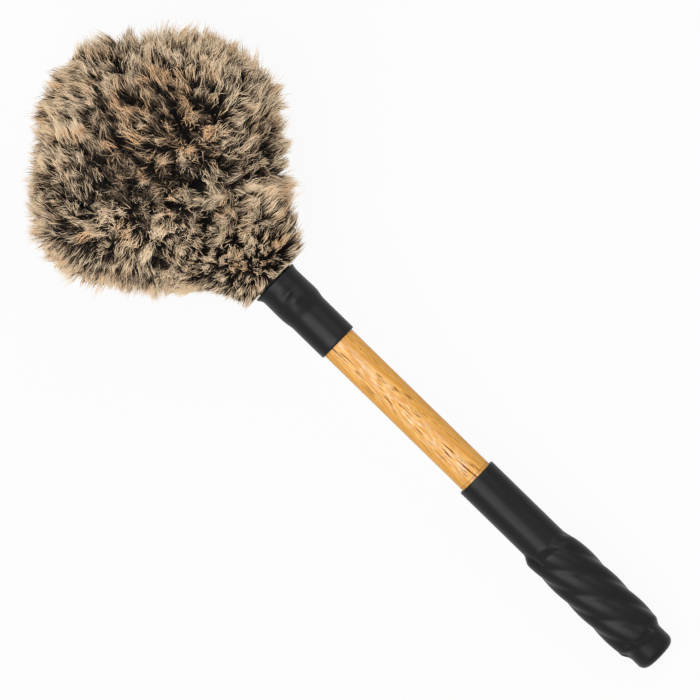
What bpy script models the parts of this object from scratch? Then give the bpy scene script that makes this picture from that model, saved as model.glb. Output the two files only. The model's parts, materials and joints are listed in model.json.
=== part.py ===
"""Gong mallet: an oak shaft with a stuffed fur head at one end and a spirally padded rubber grip at the other.

Every piece is made round its own shaft line: height runs along +Z from the butt of the grip to the crown of
the head, and an angle of half a turn faces the camera side. The finished mallet is then laid on the table,
resting on its grip and on a flattened patch of its head.
"""

import math
import random

import bmesh
import bpy
import numpy as np
from mathutils import Matrix, Vector

MM = 0.001
TURN = 2 * math.pi
GOLDEN_TURN = TURN * (3 - math.sqrt(5)) / 2

# Running gap left between two pieces that touch, and how near two points of one piece are joined
FIT = 0.3 * MM
WELD = 0.0005 * MM

# Oak shaft
SHAFT_RADIUS = 11.0 * MM
EXPOSED_WOOD = 111.5 * MM
BUTT_ROUNDING = 3.0 * MM
TENON_RADIUS = 8.5 * MM
TENON_UNDER_COLLAR = 20.0 * MM
TENON_IN_CORE = 46.0 * MM
EDGE_BREAK = 0.6 * MM

# Grip strips, laid side by side in a steep left-handed spiral
STRIP_COUNT = 6
STRIP_PITCH = 124.0 * MM
STRIP_THICKNESS = 2.6 * MM
STRIP_DOME = 0.46
STRIP_GAP = 0.5 * MM
STRIP_END_ROUND = 4.0 * MM
STRIP_SEAT = 0.45
STRIP_CREASE_HEIGHT = 49.5 * MM

# Grip sleeve: nub at the butt, lobed stretch over the strips, plain stretch to the mouth
NUB_LENGTH = 14.0 * MM
LOBED_LENGTH = 78.5 * MM
PLAIN_GRIP_LENGTH = 56.0 * MM
GRIP_WALL = 1.7 * MM
NUB_WALL = 1.1 * MM
BUTT_WALL = 1.6 * MM
BUTT_HOLE_RADIUS = 5.5 * MM
SLEEVE_RAMP = 7.0 * MM

# Neck collar
COLLAR_LENGTH = 51.3 * MM
COLLAR_WALL = 1.3 * MM
COLLAR_FLARE = 0.45 * MM
COLLAR_STEP = 6.0 * MM

# Head, as the arcs of its fur surface, heights counted from the collar's top edge
HEAD_LENGTH = 179.0 * MM
HEAD_RADIUS = 82.0 * MM
SHOULDER_HEIGHT = 97.0 * MM
SHOULDER_ARC = 46.7 * MM
CROWN_ARC = 42.5 * MM
NECK_FLARE = 15.5 * MM
NECK_LIFT = 1.5 * MM
FUR_THICKNESS = 15.0 * MM
HEM_THICKNESS = 2.2 * MM
HEM_INSET = 0.5 * MM
TABLE_FLATTENING = 2.6 * MM
PLEAT_COUNT = 8
PLEAT_DEPTH = 0.9 * MM
PLEAT_REACH = 30.0 * MM

# Large locks of the fur: they stand up to its surface, join in ridges that run to the crown within this swing,
# and are pressed together where the head lies on the table
LOCK_SPACING = 17.0 * MM
LOCK_STRAY = 2.5 * MM
VALLEY_DEPTH = 6.5 * MM
RIDGE_SWING = math.radians(30)
PRESSED_REACH = 28.0 * MM
LOCK_SEED = 4

# Uneven stuffing: height above the collar's top edge, place across the shaft line, swelling and spread
SWELLS = (
    (66.0 * MM, -64.0 * MM, 4.5 * MM, 32.0 * MM),
    (130.0 * MM, -70.0 * MM, 3.5 * MM, 20.0 * MM),
    (168.0 * MM, -30.0 * MM, 2.5 * MM, 16.0 * MM),
    (158.0 * MM, 44.0 * MM, -5.5 * MM, 14.0 * MM),
    (22.0 * MM, 30.0 * MM, -3.0 * MM, 16.0 * MM),
    (14.0 * MM, -24.0 * MM, 4.0 * MM, 18.0 * MM),
)
SWELLS_START = 12.0 * MM

# Stuffing and core
COVER_CLOTH = 0.6 * MM
CROWN_PADDING = 34.0 * MM
CORE_RADIUS = 27.0 * MM
CORE_LENGTH = 64.0 * MM
CORE_ROUNDING = 3.0 * MM
FELT_THICKNESS = 3.0 * MM
FELT_TURNS = 3

# Neck whipping and its knot
TWINE_RADIUS = 0.45 * MM
WHIPPING_TURNS = 5
WHIPPING_SPACING = 0.45 * MM
WHIPPING_SETBACK = 8.0 * MM
KNOT_LENGTH = 7.0 * MM
KNOT_WIDTH = 6.0 * MM
KNOT_HEIGHT = 1.0 * MM
KNOT_SPREAD = 0.7

# Core screw and washer
SCREW_RADIUS = 2.5 * MM
SCREW_HEAD_RADIUS = 5.0 * MM
SCREW_HEAD_HEIGHT = 3.0 * MM
SCREW_GRIP_IN_SHAFT = 26.0 * MM
WASHER_RADIUS = 10.0 * MM
WASHER_THICKNESS = 1.5 * MM

# Heights that follow from the sizes above
SLEEVE_LENGTH = NUB_LENGTH + LOBED_LENGTH + PLAIN_GRIP_LENGTH
COLLAR_FOOT = SLEEVE_LENGTH + EXPOSED_WOOD
NECK = COLLAR_FOOT + COLLAR_LENGTH
SHAFT_FOOT = BUTT_WALL + FIT
TENON_FOOT = NECK - TENON_UNDER_COLLAR
HEM_FOOT = TENON_FOOT + HEM_INSET

# Radii of the layers bound round the tenon, from the wood outwards
CLOTH_NECK_INNER = TENON_RADIUS + FIT
CLOTH_NECK_OUTER = CLOTH_NECK_INNER + COVER_CLOTH
HEM_INNER = CLOTH_NECK_OUTER + FIT
HEM_OUTER = HEM_INNER + HEM_THICKNESS
COLLAR_NECK_INNER = HEM_OUTER + FIT
SLEEVE_INNER = SHAFT_RADIUS + FIT

# Depths of the stuffed layers under the fur surface
CLOTH_DEPTH = FUR_THICKNESS + FIT
WADDING_DEPTH = CLOTH_DEPTH + COVER_CLOTH + FIT

# Whipping groove in the hem, and the knot below it
TWINE_PITCH = 2 * TWINE_RADIUS + WHIPPING_SPACING
GROOVE_RADIUS = HEM_OUTER - 2 * TWINE_RADIUS - FIT
GROOVE_FOOT = HEM_FOOT + WHIPPING_SETBACK
GROOVE_TOP = GROOVE_FOOT + WHIPPING_TURNS * TWINE_PITCH + 2 * TWINE_RADIUS + 2 * FIT
KNOT_ANGLE = TURN / 2
KNOT_MIDDLE = GROOVE_FOOT - FIT - KNOT_LENGTH / 2

# Heights on the fur: where it opens out from the hem, and where its pleats end and its large locks start
HEM_TOP = NECK + FIT
FUR_FOOT = NECK + NECK_LIFT
PLEATS_TOP = FUR_FOOT + PLEAT_REACH

# Core and screw heights
CORE_TOP = NECK + HEAD_LENGTH - WADDING_DEPTH - CROWN_PADDING
CORE_FOOT = CORE_TOP - CORE_LENGTH
TENON_TOP = CORE_FOOT + TENON_IN_CORE
RECESS_FLOOR = CORE_TOP - WASHER_THICKNESS - SCREW_HEAD_HEIGHT - 3 * FIT
FELT_FOOT = CORE_FOOT + CORE_ROUNDING
FELT_TOP = CORE_TOP - CORE_ROUNDING
FELT_INNER = CORE_RADIUS + FIT
FELT_LAP = FELT_THICKNESS + FIT
FELT_OUTER = FELT_INNER + FELT_TURNS * FELT_LAP + FELT_THICKNESS

# Facets, and the angles past which an edge is shaded sharp
SHARP_ANGLE = math.radians(35)
FUR_SHARP_ANGLE = math.radians(85)
ROUND_SEGMENTS = 32
HEAD_SEGMENTS = 32
CORE_SEGMENTS = 24
SCREW_SEGMENTS = 16
OUTLINE_POINT_COUNT = 5
FINE_OUTLINE_POINT_COUNT = 30
PLEAT_ROW_COUNT = 4
WHIPPING_POINTS = 24
COLLAR_STEP_RING_COUNT = 5
KNOT_RING_COUNT = 8
LANE_PLACES = (-0.5, -0.3, -0.1, 0.1, 0.3, 0.5)
MIDDLE_STATION_COUNT = 12
END_STATION_COUNT = 5


def clear_scene():
    """Remove every object that the file opened with."""
    for obj in list(bpy.data.objects):
        bpy.data.objects.remove(obj)


def finish_of(name, colour, roughness, metallic=0.0):
    """A Principled BSDF material in one plain colour."""
    material = bpy.data.materials.new(name)
    material.use_nodes = True
    shader = material.node_tree.nodes["Principled BSDF"]
    shader.inputs["Base Color"].default_value = (*colour, 1.0)
    shader.inputs["Roughness"].default_value = roughness
    shader.inputs["Metallic"].default_value = metallic
    return material


def smooth(share):
    """A soft step from 0 to 1."""
    share = min(max(share, 0.0), 1.0)
    return share * share * (3 - 2 * share)


def evenly(low, high, count):
    """This many heights from low to high, both included."""
    return [low + (high - low) * i / (count - 1) for i in range(count)]


def arc(height, radius, bend, start, end, count):
    """Outline points (height, radius) along a round stretch, with angles measured from the shaft line."""
    angles = evenly(start, end, count)
    return [(height + bend * math.cos(a), radius + bend * math.sin(a)) for a in angles]


def add_piece(name, mesh, material, sharp=SHARP_ANGLE):
    """Link a finished bmesh as one named object, shaded smooth but for edges that turn by more than this angle."""
    bmesh.ops.recalc_face_normals(mesh, faces=mesh.faces)
    data = bpy.data.meshes.new(name)
    mesh.to_mesh(data)
    mesh.free()
    data.materials.append(material)
    data.shade_smooth()
    data.set_sharp_from_angle(angle=sharp)
    obj = bpy.data.objects.new(name, data)
    bpy.context.scene.collection.objects.link(obj)
    return obj


def spin_outline(mesh, outline, closes, segments):
    """Revolve (height, radius) points about the shaft line, joined in a loop where it closes."""
    verts = [mesh.verts.new((radius, 0, height)) for height, radius in outline]
    ends = list(zip(verts, verts[1:] + verts[:1])) if closes else list(zip(verts, verts[1:]))
    edges = [mesh.edges.new(pair) for pair in ends]
    bmesh.ops.spin(
        mesh,
        geom=verts + edges,
        cent=(0, 0, 0),
        axis=(0, 0, 1),
        angle=TURN,
        steps=segments,
        use_merge=True,
    )
    bmesh.ops.remove_doubles(mesh, verts=mesh.verts, dist=WELD)


def turned(name, outline, material, segments=ROUND_SEGMENTS):
    """A piece whose whole outline of (height, radius) points is revolved about the shaft line."""
    mesh = bmesh.new()
    spin_outline(mesh, outline, outline[0][1] > 0 or outline[-1][1] > 0, segments)
    return add_piece(name, mesh, material)


def lofted(name, rings, material, closed_loop):
    """Skin a row of equal rings.

    A closed loop joins the last ring to the first. Otherwise both ends are capped, by quads that join the
    first half of the ring's points to the second half.
    """
    mesh = bmesh.new()
    rows = [[mesh.verts.new(point) for point in ring] for ring in rings]
    pairs = list(zip(rows, rows[1:]))
    if closed_loop:
        pairs.append((rows[-1], rows[0]))
    else:
        for row in (rows[0], rows[-1]):
            for i in range(len(row) // 2 - 1):
                mesh.faces.new((row[i], row[i + 1], row[-2 - i], row[-1 - i]))
    for lower, upper in pairs:
        for i in range(len(lower)):
            j = (i + 1) % len(lower)
            mesh.faces.new((lower[i], lower[j], upper[j], upper[i]))
    return add_piece(name, mesh, material)


def on_shaft_line(angle, radius, height):
    """The point at this angle, radius and height."""
    return Vector((radius * math.cos(angle), radius * math.sin(angle), height))


def oak_shaft(material):
    """The dowel: rounded butt, plain handle, shouldered tenon for the neck and the core, pilot hole in its end."""
    pilot = SCREW_RADIUS + FIT
    pilot_floor = TENON_TOP - SCREW_GRIP_IN_SHAFT
    outline = [(SHAFT_FOOT, 0.0)]
    outline += arc(SHAFT_FOOT + BUTT_ROUNDING, SHAFT_RADIUS - BUTT_ROUNDING, BUTT_ROUNDING, math.pi, math.pi / 2, 5)
    outline += [
        (TENON_FOOT - EDGE_BREAK, SHAFT_RADIUS),
        (TENON_FOOT, SHAFT_RADIUS - EDGE_BREAK),
        (TENON_FOOT, TENON_RADIUS),
        (TENON_TOP - EDGE_BREAK, TENON_RADIUS),
        (TENON_TOP, TENON_RADIUS - EDGE_BREAK),
        (TENON_TOP, pilot),
        (pilot_floor, pilot),
        (pilot_floor - pilot, 0.0),
    ]
    return turned("shaft", outline, material)


def strip_corner(across):
    """How far a strip's rounded end is drawn in at this place across it."""
    return STRIP_END_ROUND * (1 - math.sqrt(max(0.0, 1 - (2 * across) ** 2)))


def strip_rise(across, height):
    """How far the sleeve is lifted off the shaft by the strips.

    across is the place in a strip's lane, from -0.5 to 0.5 with 0 on its crown.
    """
    lift = (STRIP_THICKNESS + FIT) - STRIP_DOME * STRIP_THICKNESS * (2 * across) ** 2
    low = NUB_LENGTH + strip_corner(across)
    high = NUB_LENGTH + LOBED_LENGTH - strip_corner(across)
    return lift * smooth(min(height - low, high - height) / SLEEVE_RAMP)


def lobed_stations():
    """Heights of the grip's rings over the strips, closer together where the strips end."""
    low = NUB_LENGTH
    high = NUB_LENGTH + LOBED_LENGTH
    end_span = min(STRIP_END_ROUND + SLEEVE_RAMP, 0.3 * LOBED_LENGTH)
    start = evenly(low, low + end_span, END_STATION_COUNT + 1)[:-1]
    middle = evenly(low + end_span, high - end_span, MIDDLE_STATION_COUNT)
    end = evenly(high - end_span, high, END_STATION_COUNT + 1)[1:]
    return start + middle + end


def between(steps, value):
    """The two steps that a value lies between, and how far it is from the first to the second."""
    for low, high in zip(steps, steps[1:]):
        if value <= high:
            return low, high, (value - low) / (high - low)
    return steps[-1], steps[-1], 0.0


def faceted_rise(across, height):
    """The lift of the sleeve's facets, which run straight between its columns and its rings."""
    low, high, climb = between(lobed_stations(), height)
    left, right, share = between(LANE_PLACES, across)
    lower = strip_rise(left, low) * (1 - share) + strip_rise(right, low) * share
    upper = strip_rise(left, high) * (1 - share) + strip_rise(right, high) * share
    return lower * (1 - climb) + upper * climb


def lane_angle(lane, across, height):
    """The angle of a place in a lane, which winds to the left as it climbs through the lobed stretch."""
    held = min(max(height, NUB_LENGTH), NUB_LENGTH + LOBED_LENGTH)
    wind = (held - STRIP_CREASE_HEIGHT) / STRIP_PITCH
    return TURN / 2 + TURN * ((lane + across + 0.5) / STRIP_COUNT - wind)


def grip_ring(height, base, ridden):
    """One ring of the grip sleeve. A ridden ring rises over the strips."""
    ring = []
    for lane in range(STRIP_COUNT):
        for across in LANE_PLACES[:-1]:
            radius = base + (strip_rise(across, height) if ridden else 0.0)
            ring.append(on_shaft_line(lane_angle(lane, across, height), radius, height))
    return ring


def sleeve_wall(height):
    """Wall of the grip sleeve: thin on the nub, where it is shrunk most, and full from there on."""
    return NUB_WALL + (GRIP_WALL - NUB_WALL) * smooth((height - NUB_LENGTH) / SLEEVE_RAMP)


def grip_sleeve(material):
    """The shrunk sleeve: it follows the strips, and curls over the butt of the shaft round an open middle."""
    stations = lobed_stations()
    rings = [grip_ring(SLEEVE_LENGTH, SLEEVE_INNER, False)]
    rings.append(grip_ring(SLEEVE_LENGTH, SLEEVE_INNER + GRIP_WALL - EDGE_BREAK, False))
    rings.append(grip_ring(SLEEVE_LENGTH - EDGE_BREAK, SLEEVE_INNER + GRIP_WALL, False))
    for height in reversed(stations):
        rings.append(grip_ring(height, SLEEVE_INNER + sleeve_wall(height), True))
    # The outside curls over the butt, and the inside keeps the same centre as the shaft's rounding.
    outer_bend = BUTT_ROUNDING + FIT + (BUTT_WALL + NUB_WALL) / 2
    outer_radius = SLEEVE_INNER + NUB_WALL
    for height, radius in arc(outer_bend, outer_radius - outer_bend, outer_bend, math.pi / 2, math.pi, 6):
        rings.append(grip_ring(height, radius, False))
    rings.append(grip_ring(0.0, BUTT_HOLE_RADIUS, False))
    rings.append(grip_ring(BUTT_WALL, BUTT_HOLE_RADIUS, False))
    inner_bend = BUTT_ROUNDING + FIT
    inner_middle = SHAFT_RADIUS - BUTT_ROUNDING
    for height, radius in arc(BUTT_WALL + inner_bend, inner_middle, inner_bend, math.pi, math.pi / 2, 5):
        rings.append(grip_ring(height, radius, False))
    for height in stations:
        rings.append(grip_ring(height, SLEEVE_INNER, True))
    return lofted("grip_sleeve", rings, material, closed_loop=True)


def grip_strip(number, material):
    """One domed strip in its lane, seated on the shaft and under the sleeve."""
    side = STRIP_GAP / (TURN * SLEEVE_INNER / STRIP_COUNT)
    places = [min(max(across, side - 0.5), 0.5 - side) for across in LANE_PLACES]
    stations = lobed_stations()
    ramps = (stations[END_STATION_COUNT], stations[-1 - END_STATION_COUNT])
    rings = []
    for station in stations:
        crown = []
        foot = []
        for across in places:
            inset = strip_corner(across) + STRIP_SEAT * SLEEVE_RAMP
            height = station
            if station < ramps[0]:
                height = ramps[0] - (ramps[0] - station) * (1 - inset / (ramps[0] - stations[0]))
            elif station > ramps[1]:
                height = ramps[1] + (station - ramps[1]) * (1 - inset / (stations[-1] - ramps[1]))
            angle = lane_angle(number, across, height)
            top = SLEEVE_INNER + faceted_rise(across, height) - FIT
            crown.append(on_shaft_line(angle, top, height))
            foot.append(on_shaft_line(angle, SLEEVE_INNER, height))
        rings.append(crown + foot[::-1])
    return lofted(f"grip_strip_{number + 1}", rings, material, closed_loop=False)


def knot_lift(angle, height):
    """How far the collar stands out over the whipping's knot."""
    round_way = math.remainder(angle - KNOT_ANGLE, TURN) * HEM_OUTER
    reach = math.hypot(round_way / KNOT_WIDTH, (height - KNOT_MIDDLE) / KNOT_LENGTH)
    return (KNOT_HEIGHT + FIT) * (1 - smooth((reach - 0.5) / KNOT_SPREAD))


def collar_bore(height):
    """The collar's inner radius, stepped up from the shaft to the bound hem."""
    share = smooth((height - (TENON_FOOT - COLLAR_STEP)) / (COLLAR_STEP - EDGE_BREAK))
    return SLEEVE_INNER + (COLLAR_NECK_INNER - SLEEVE_INNER) * share


def neck_collar(material):
    """The shrunk collar over the neck, with a bump over the knot and a slightly flared top edge."""
    stations = [COLLAR_FOOT]
    stations += evenly(TENON_FOOT - COLLAR_STEP, TENON_FOOT, COLLAR_STEP_RING_COUNT)
    stations += evenly(TENON_FOOT, KNOT_MIDDLE + KNOT_LENGTH, KNOT_RING_COUNT)[1:]
    stations += [NECK]

    def ring(height, wall):
        points = []
        for i in range(ROUND_SEGMENTS):
            angle = TURN * i / ROUND_SEGMENTS
            flare = COLLAR_FLARE * smooth(1 - (NECK - height) / COLLAR_STEP)
            lift = knot_lift(angle, height)
            radius = collar_bore(height) + flare + lift + wall
            points.append(on_shaft_line(angle, radius, height))
        return points

    inner = [ring(height, 0.0) for height in stations]
    outer = [ring(height, COLLAR_WALL) for height in stations]
    return lofted("neck_collar", inner + outer[::-1], material, closed_loop=True)


def whipping_point(turn):
    """The middle of the twine after this many turns round the hem."""
    height = GROOVE_FOOT + FIT + TWINE_RADIUS + turn * TWINE_PITCH
    return on_shaft_line(KNOT_ANGLE + TURN * turn, GROOVE_RADIUS + FIT + TWINE_RADIUS, height)


def neck_whipping(material):
    """Waxed twine bound round the hem in one unbroken winding, both ends run out straight."""
    turns = [i / WHIPPING_POINTS for i in range(WHIPPING_TURNS * WHIPPING_POINTS + 1)]
    points = [whipping_point(turn) for turn in turns]
    least = min((point - whipping_point(turn + 1)).length for turn, point in zip(turns, points))
    print(f"neck_whipping: least gap between turns {(least - 2 * TWINE_RADIUS) / MM:.2f} mm")
    start = (points[0] - points[1]).normalized() * 2 * TWINE_RADIUS
    end = (points[-1] - points[-2]).normalized() * 2 * TWINE_RADIUS
    points = [points[0] + start] + points + [points[-1] + end]
    curve = bpy.data.curves.new("neck_whipping", "CURVE")
    curve.dimensions = "3D"
    curve.bevel_depth = TWINE_RADIUS
    curve.bevel_resolution = 1
    curve.use_fill_caps = True
    spline = curve.splines.new("POLY")
    spline.points.add(len(points) - 1)
    for spot, point in zip(spline.points, points):
        spot.co = (*point, 1.0)
    curve.materials.append(material)
    obj = bpy.data.objects.new("neck_whipping", curve)
    bpy.context.scene.collection.objects.link(obj)
    return obj


def whipping_knot(material):
    """The twine's knot: a low bead lying on the hem below the winding."""
    mesh = bmesh.new()
    bmesh.ops.create_uvsphere(mesh, u_segments=12, v_segments=8, radius=1.0)
    seat = HEM_OUTER + FIT
    for vert in mesh.verts:
        x, y, z = vert.co
        angle = KNOT_ANGLE + x * KNOT_WIDTH / 2 / seat
        radius = seat + max(z, 0.0) * (KNOT_HEIGHT - FIT)
        vert.co = on_shaft_line(angle, radius, KNOT_MIDDLE + y * KNOT_LENGTH / 2)
    return add_piece("whipping_knot", mesh, material)


def neck_slope():
    """The slope of the neck's cone: it leaves the collar's edge and runs tangent to the shoulder."""
    along = SHOULDER_HEIGHT - NECK_LIFT
    out = (HEAD_RADIUS - SHOULDER_ARC) - NECK_FLARE
    return math.atan2(out, along) + math.asin(SHOULDER_ARC / math.hypot(along, out))


def head_outline(depth, start_radius, arc_points=OUTLINE_POINT_COUNT):
    """The head's outline this deep under the fur: neck cone, shoulder, crown cone and round crown."""
    shoulder_out = HEAD_RADIUS - SHOULDER_ARC
    crown_middle = HEAD_LENGTH - CROWN_ARC
    slope = neck_slope()
    apart = math.hypot(crown_middle - SHOULDER_HEIGHT, shoulder_out)
    lean = math.atan2(shoulder_out, crown_middle - SHOULDER_HEIGHT)
    crown_turn = math.acos((SHOULDER_ARC - CROWN_ARC) / apart) - lean
    shoulder = arc(
        NECK + SHOULDER_HEIGHT,
        shoulder_out,
        SHOULDER_ARC - depth,
        math.pi / 2 + slope,
        crown_turn,
        arc_points + 2,
    )
    crown = arc(NECK + crown_middle, 0.0, CROWN_ARC - depth, crown_turn, 0.0, arc_points)
    first_height, first_radius = shoulder[0]
    start_height = first_height - (first_radius - start_radius) / math.tan(slope)
    cone = [
        (start_height + (first_height - start_height) * s, start_radius + (first_radius - start_radius) * s)
        for s in evenly(0.0, 1.0, 4)[:-1]
    ]
    crown[-1] = (crown[-1][0], 0.0)
    return cone + shoulder + crown


def lock_spots(heights, radii):
    """Where the large locks stand: (height, radius, angle, latitude), spread evenly by area on a golden spiral.

    The latitude, 0 at the first of these heights, is that of a map that keeps angles.
    """
    steps = np.hypot(np.diff(heights), np.diff(radii))
    middles = (radii[1:] + radii[:-1]) / 2
    run = np.concatenate(([0.0], np.cumsum(steps)))
    area = np.concatenate(([0.0], np.cumsum(TURN * middles * steps)))
    latitude = np.concatenate(([0.0], np.cumsum(steps / middles)))
    count = round(area[-1] / (LOCK_SPACING**2 * math.sqrt(3) / 2))
    stray = random.Random(LOCK_SEED)
    spots = []
    for i in range(count):
        way = np.interp(area[-1] * (i + 0.5) / count, area, run) + stray.uniform(-LOCK_STRAY, LOCK_STRAY)
        way = min(max(way, LOCK_SPACING / 2), run[-1] - LOCK_STRAY)
        radius = np.interp(way, run, radii)
        angle = GOLDEN_TURN * i + stray.uniform(-LOCK_STRAY, LOCK_STRAY) / radius
        spots.append((np.interp(way, run, heights), radius, angle, np.interp(way, run, latitude)))
    return spots, np.interp(area[-1] / 2, area, latitude)


def lock_net(mesh, heights, radii):
    """Cover the head with triangles between the locks, from a round edge at the first of these heights.

    The spots are laid on a ball first, where their convex hull joins each to its neighbours.
    """
    spots, equator = lock_spots(heights, radii)
    edge = [(heights[0], radii[0], TURN * i / HEAD_SEGMENTS, 0.0) for i in range(HEAD_SEGMENTS)]
    net = bmesh.new()
    for _, _, angle, latitude in edge + spots:
        net.verts.new(on_shaft_line(angle, 1 / math.cosh(latitude - equator), math.tanh(latitude - equator)))
    net.verts.index_update()
    bmesh.ops.convex_hull(net, input=net.verts)
    net.verts.ensure_lookup_table()
    verts = [mesh.verts.new(on_shaft_line(angle, radius, height)) for height, radius, angle, _ in edge + spots]
    for face in net.faces:
        numbers = [vert.index for vert in face.verts]
        if max(numbers) >= HEAD_SEGMENTS:
            mesh.faces.new([verts[number] for number in numbers])
    net.free()


def swelling(point):
    """How far the stuffing lifts the fur at this point, or how far it falls short."""
    lift = 0.0
    for climb, across, rise, spread in SWELLS:
        away = (point - Vector((0.0, across, NECK + climb))).length
        lift += rise * math.exp(-((away / spread) ** 2))
    return lift * smooth((point.z - FUR_FOOT) / SWELLS_START)


def pleat(point):
    """How far the gathered fur is drawn in at this point of the neck's cone."""
    climb = point.z - FUR_FOOT
    fade = smooth(climb / NECK_FLARE) * smooth((PLEAT_REACH - climb) / PLEAT_REACH)
    return PLEAT_DEPTH * fade * (1 + math.cos(PLEAT_COUNT * math.atan2(point.y, point.x)))


def runs_across(edge):
    """Whether an edge between two locks swings too far from the way to the crown to be a ridge."""
    start, end = (vert.co for vert in edge.verts)
    around = Vector((0.0, 0.0, 1.0)).cross(start + end).normalized()
    return abs((end - start).normalized().dot(around)) > math.sin(RIDGE_SWING)


def part_locks(mesh):
    """Shape the fur over the stuffing, and sink valleys between the locks that aren't pressed on the table."""
    field = [face for face in mesh.faces if min(vert.co.z for vert in face.verts) > PLEATS_TOP + WELD]
    within = set(field)
    inner = [edge for edge in mesh.edges if len(edge.link_faces) == 2 and within.issuperset(edge.link_faces)]
    across = [edge for edge in inner if runs_across(edge)]
    mesh.normal_update()
    for vert, normal in [(vert, vert.normal.copy()) for vert in mesh.verts]:
        vert.co += normal * (swelling(vert.co) - pleat(vert.co))
    valleys = bmesh.ops.poke(mesh, faces=field)["verts"]
    mesh.normal_update()
    pressed = on_shaft_line(0.0, HEAD_RADIUS, NECK + SHOULDER_HEIGHT)
    for vert, normal in [(vert, vert.normal.copy()) for vert in valleys]:
        vert.co -= normal * VALLEY_DEPTH * smooth(((vert.co - pressed).length - PRESSED_REACH) / LOCK_SPACING)
    bmesh.ops.rotate_edges(mesh, edges=across)


def fur_cover(material):
    """The sewn fur cover, gathered in pleats to a hem that is bound to the tenon, its fur parted in large locks."""
    mesh = bmesh.new()
    heights, radii = np.array(head_outline(0.0, NECK_FLARE, FINE_OUTLINE_POINT_COUNT)).T
    above = heights > PLEATS_TOP
    edge_radius = np.interp(PLEATS_TOP, heights, radii)
    climb = evenly(FUR_FOOT, PLEATS_TOP, PLEAT_ROW_COUNT)
    cone = [(height, np.interp(height, heights, radii)) for height in climb]
    spin_outline(mesh, cone, False, HEAD_SEGMENTS)
    lock_net(mesh, np.append(PLEATS_TOP, heights[above]), np.append(edge_radius, radii[above]))
    bmesh.ops.remove_doubles(mesh, verts=mesh.verts, dist=WELD)
    bmesh.ops.recalc_face_normals(mesh, faces=mesh.faces)
    part_locks(mesh)
    inside = head_outline(FUR_THICKNESS, HEM_INNER)
    hem = [
        (FUR_FOOT, NECK_FLARE),
        (HEM_TOP, HEM_OUTER),
        (GROOVE_TOP, HEM_OUTER),
        (GROOVE_TOP, GROOVE_RADIUS),
        (GROOVE_FOOT, GROOVE_RADIUS),
        (GROOVE_FOOT, HEM_OUTER),
        (HEM_FOOT, HEM_OUTER),
        (HEM_FOOT, HEM_INNER),
    ]
    spin_outline(mesh, hem + inside, False, HEAD_SEGMENTS)
    return add_piece("fur_cover", mesh, material, sharp=FUR_SHARP_ANGLE)


def inner_cover(material):
    """The cloth cover under the fur, drawn in to the tenon under the hem."""
    outside = [(HEM_FOOT, CLOTH_NECK_OUTER)] + head_outline(CLOTH_DEPTH, CLOTH_NECK_OUTER)
    inside = head_outline(CLOTH_DEPTH + COVER_CLOTH, CLOTH_NECK_INNER)
    outline = outside + inside[::-1] + [(HEM_FOOT, CLOTH_NECK_INNER)]
    return turned("inner_cover", outline, material, HEAD_SEGMENTS)


def wadding_ball(material):
    """The wadding that fills the cover, moulded round the felted core."""
    foot_radius = CLOTH_NECK_INNER + 3 * FIT
    outside = head_outline(WADDING_DEPTH, foot_radius + COVER_CLOTH)
    cavity = FELT_OUTER + 2 * FIT
    inside = [
        (CORE_TOP + FIT, 0.0),
        (CORE_TOP + FIT, cavity),
        (CORE_FOOT - FIT, cavity),
        (CORE_FOOT - FIT, CLOTH_NECK_INNER),
        (outside[0][0], CLOTH_NECK_INNER),
    ]
    return turned("wadding_ball", outside + inside, material, HEAD_SEGMENTS)


def head_core(material):
    """The turned beech core, bored for the tenon from below and recessed for the screw and washer above."""
    bore = TENON_RADIUS + FIT
    bore_floor = TENON_TOP + FIT
    recess = WASHER_RADIUS + FIT
    hole = SCREW_RADIUS + FIT
    middle = CORE_RADIUS - CORE_ROUNDING
    outline = [(bore_floor, hole), (bore_floor, bore), (CORE_FOOT + EDGE_BREAK, bore), (CORE_FOOT, bore + EDGE_BREAK)]
    outline += arc(CORE_FOOT + CORE_ROUNDING, middle, CORE_ROUNDING, math.pi, math.pi / 2, 4)
    outline += arc(CORE_TOP - CORE_ROUNDING, middle, CORE_ROUNDING, math.pi / 2, 0.0, 4)
    outline += [(CORE_TOP, recess), (RECESS_FLOOR, recess), (RECESS_FLOOR, hole)]
    return turned("head_core", outline, material, CORE_SEGMENTS)


def core_washer(material):
    """The washer under the screw's head."""
    low = RECESS_FLOOR + FIT
    high = low + WASHER_THICKNESS
    hole = SCREW_RADIUS + FIT
    outline = [(low, hole), (low, WASHER_RADIUS), (high, WASHER_RADIUS), (high, hole)]
    return turned("core_washer", outline, material, CORE_SEGMENTS)


def core_screw(material):
    """The domed screw that draws the core down on the shaft's tenon, thread left plain."""
    seat = RECESS_FLOOR + 2 * FIT + WASHER_THICKNESS
    point = TENON_TOP - SCREW_GRIP_IN_SHAFT + FIT
    outline = [
        (point - FIT, 0.0),
        (point + SCREW_RADIUS, SCREW_RADIUS),
        (seat, SCREW_RADIUS),
        (seat, SCREW_HEAD_RADIUS),
        (seat + SCREW_HEAD_HEIGHT / 2, SCREW_HEAD_RADIUS),
        (seat + SCREW_HEAD_HEIGHT * 0.85, SCREW_HEAD_RADIUS * 0.7),
        (seat + SCREW_HEAD_HEIGHT, 0.0),
    ]
    return turned("core_screw", outline, material, SCREW_SEGMENTS)


def core_felt(material):
    """One long strip of felt rolled round the core."""
    rings = []
    for turn in evenly(0.0, FELT_TURNS, FELT_TURNS * CORE_SEGMENTS + 1):
        inner = FELT_INNER + FELT_LAP * turn
        outer = inner + FELT_THICKNESS
        corners = [(inner, FELT_FOOT), (outer, FELT_FOOT), (outer, FELT_TOP), (inner, FELT_TOP)]
        rings.append([on_shaft_line(TURN * turn, radius, height) for radius, height in corners])
    return lofted("core_felt", rings, material, closed_loop=False)


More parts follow.
